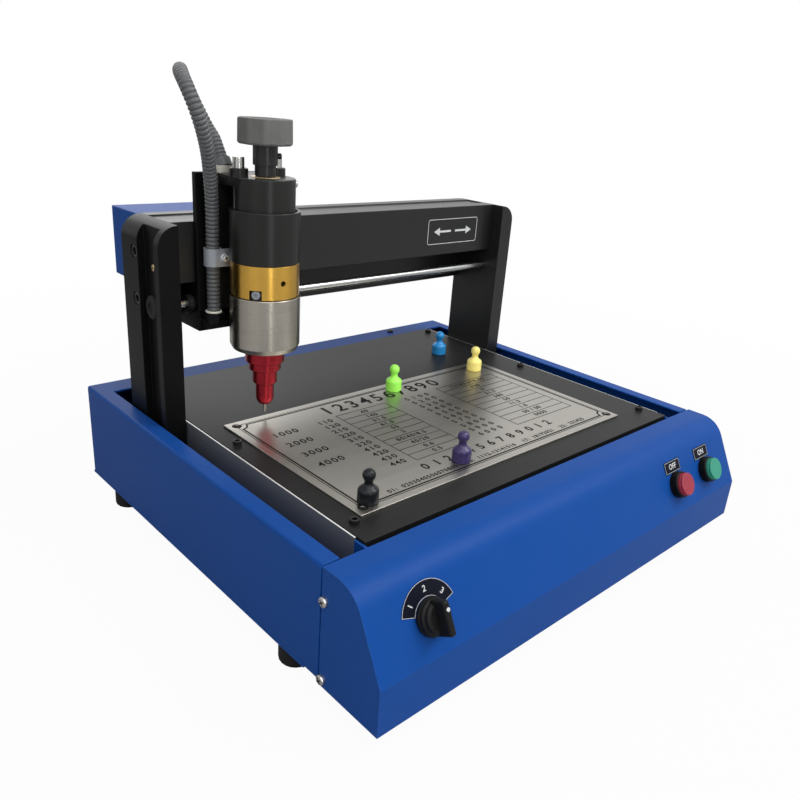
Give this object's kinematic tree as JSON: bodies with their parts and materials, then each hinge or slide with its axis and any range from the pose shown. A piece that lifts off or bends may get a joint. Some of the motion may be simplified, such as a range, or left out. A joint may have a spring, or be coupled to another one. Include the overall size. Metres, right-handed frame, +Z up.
{
  "type": "nameplate marking machine",
  "caption": "Benchtop marking machine: a gantry slides over a flat table in a blue case and carries a vibrating needle head across a metal nameplate held by magnets.",
  "frame": {"origin": "centre of the footprint on the surface the feet stand on", "axes": "+X right along the console as the user faces it, +Y from the user to the back, +Z up"},
  "size_m": [0.35, 0.336, 0.3018],
  "materials": {
    "blue_paint": "satin powder coat",
    "zinc_steel": "zinc plated sheet",
    "black_rubber": "moulded rubber",
    "bare_aluminium": "milled",
    "black_anodised": "black satin anodising",
    "hard_chrome": "ground and hard chromed",
    "brushed_steel": "turned or brushed steel",
    "plate_steel": "long grained blank",
    "motor_black": "black lacquer",
    "board_green": "solder mask",
    "black_plastic": "fine grained",
    "red_plastic": "moulded cap",
    "green_plastic": "moulded cap",
    "brass": "turned",
    "gold_anodised": "gold anodising",
    "copper_winding": "enamelled wire",
    "red_anodised": "red anodising",
    "dark_knob": "fine matt grain",
    "hose_plastic": "ribbed",
    "pale_nylon": "natural nylon",
    "magnet_blue": "moulded",
    "magnet_green": "moulded",
    "magnet_yellow": "moulded",
    "magnet_purple": "moulded",
    "magnet_black": "moulded"
  },
  "bodies": {
    "base": {"case_shell": "blue_paint", "base_plate": "zinc_steel", "foot_front_left": "black_rubber", "foot_front_right": "black_rubber", "foot_rear_left": "black_rubber", "foot_rear_right": "black_rubber", "console_shell": "blue_paint", "table_frame": "bare_aluminium", "table_plate": "black_anodised", "y_guide_rod_left": "hard_chrome", "y_guide_rod_right": "hard_chrome", "guard_strip_left": "brushed_steel", "guard_strip_right": "brushed_steel", "nameplate": "plate_steel", "y_motor": "motor_black", "power_supply": "zinc_steel", "control_board": "board_green", "power_inlet": "black_plastic", "stop_button_body": "black_anodised", "start_button_body": "black_anodised", "selector_body": "black_plastic"},
    "lead_screw_body": {"lead_screw": "brushed_steel"},
    "gantry": {"post_left": "black_anodised", "post_right": "black_anodised", "beam": "black_anodised", "x_guide_rod_front": "hard_chrome", "x_guide_rod_upper": "hard_chrome", "x_motor": "motor_black", "motor_cover": "blue_paint", "x_belt": "black_rubber", "cross_member": "black_anodised", "gantry_bearing_left": "bare_aluminium", "gantry_bearing_right": "bare_aluminium", "lead_nut": "brass"},
    "drive_pulley_body": {"x_drive_pulley": "bare_aluminium"},
    "idler_pulley_body": {"x_idler_pulley": "bare_aluminium"},
    "carriage": {"carriage_block": "black_anodised", "carriage_bearing": "brushed_steel", "head_bracket": "black_anodised", "lift_nut": "brass", "hose": "hose_plastic", "hose_clip": "brushed_steel", "hose_end_fitting": "pale_nylon"},
    "marking_head": {"head_sleeve": "black_anodised", "index_ring": "gold_anodised", "coil_housing": "brushed_steel", "solenoid_coil": "copper_winding", "nozzle": "red_anodised", "guide_pins": "hard_chrome"},
    "knob_body": {"adjusting_knob": "dark_knob"},
    "needle_body": {"needle": "brushed_steel", "needle_spring": "brushed_steel"},
    "selector": {"selector_knob": "black_plastic"},
    "stop_cap": {"stop_button_cap": "red_plastic"},
    "start_cap": {"start_button_cap": "green_plastic"},
    "magnet_blue_body": {"magnet_blue": "magnet_blue"},
    "magnet_green_body": {"magnet_green": "magnet_green"},
    "magnet_yellow_body": {"magnet_yellow": "magnet_yellow"},
    "magnet_purple_body": {"magnet_purple": "magnet_purple"},
    "magnet_black_body": {"magnet_black": "magnet_black"}
  },
  "joints": [
    {"name": "gantry_slide", "type": "slide", "parent": "base", "child": "gantry", "axis": [0, 1, 0], "range_m": [-0.15, 0.01]},
    {"name": "lead_screw_turn", "type": "hinge", "parent": "base", "child": "lead_screw_body", "pos_m": [0, 0, 0.039], "axis": [0, 1, 0], "range_deg": [-6760, 460]},
    {"name": "carriage_slide", "type": "slide", "parent": "gantry", "child": "carriage", "axis": [1, 0, 0], "range_m": [-0.005, 0.206]},
    {"name": "drive_pulley_turn", "type": "hinge", "parent": "gantry", "child": "drive_pulley_body", "pos_m": [-0.118, 0.1, 0.186], "axis": [0, 1, 0], "range_deg": [-1860, 50]},
    {"name": "idler_pulley_turn", "type": "hinge", "parent": "gantry", "child": "idler_pulley_body", "pos_m": [0.137, 0.1, 0.186], "axis": [0, 1, 0], "range_deg": [-1860, 50]},
    {"name": "head_lift", "type": "slide", "parent": "carriage", "child": "marking_head", "axis": [0, 0, 1], "range_m": [0, 0.012]},
    {"name": "knob_turn", "type": "hinge", "parent": "marking_head", "child": "knob_body", "pos_m": [-0.1021, 0.0465, 0.26], "axis": [0, 0, 1], "range_deg": [-2, 2890]},
    {"name": "needle_strike", "type": "slide", "parent": "marking_head", "child": "needle_body", "axis": [0, 0, -1], "range_m": [0, 0.0027], "stiffness_N_per_m": 200, "springref_m": -0.003, "deforming": ["needle_spring"]},
    {"name": "selector_turn", "type": "hinge", "parent": "base", "child": "selector", "pos_m": [-0.1364, -0.15084, 0.06059], "axis": [0, -0.891, 0.4539], "range_deg": [-50, 50]},
    {"name": "stop_button_press", "type": "slide", "parent": "base", "child": "stop_cap", "axis": [0, 0.891, -0.4539], "range_m": [0, 0.003], "stiffness_N_per_m": 300, "springref_m": -0.002},
    {"name": "start_button_press", "type": "slide", "parent": "base", "child": "start_cap", "axis": [0, 0.891, -0.4539], "range_m": [0, 0.003], "stiffness_N_per_m": 300, "springref_m": -0.002},
    {"name": "magnet_blue_lift", "type": "slide", "parent": "base", "child": "magnet_blue_body", "axis": [0, 0, 1], "range_m": [0, 0.02]},
    {"name": "magnet_green_lift", "type": "slide", "parent": "base", "child": "magnet_green_body", "axis": [0, 0, 1], "range_m": [0, 0.02]},
    {"name": "magnet_yellow_lift", "type": "slide", "parent": "base", "child": "magnet_yellow_body", "axis": [0, 0, 1], "range_m": [0, 0.02]},
    {"name": "magnet_purple_lift", "type": "slide", "parent": "base", "child": "magnet_purple_body", "axis": [0, 0, 1], "range_m": [0, 0.02]},
    {"name": "magnet_black_lift", "type": "slide", "parent": "base", "child": "magnet_black_body", "axis": [0, 0, 1], "range_m": [0, 0.02]}
  ],
  "couplings": [
    {"joint": "lead_screw_turn", "follows": "gantry_slide", "rad_per_m": 785.4},
    {"joint": "drive_pulley_turn", "follows": "carriage_slide", "rad_per_m": -157.08},
    {"joint": "idler_pulley_turn", "follows": "carriage_slide", "rad_per_m": -157.08},
    {"joint": "knob_turn", "follows": "head_lift", "rad_per_m": 4188.8}
  ]
}
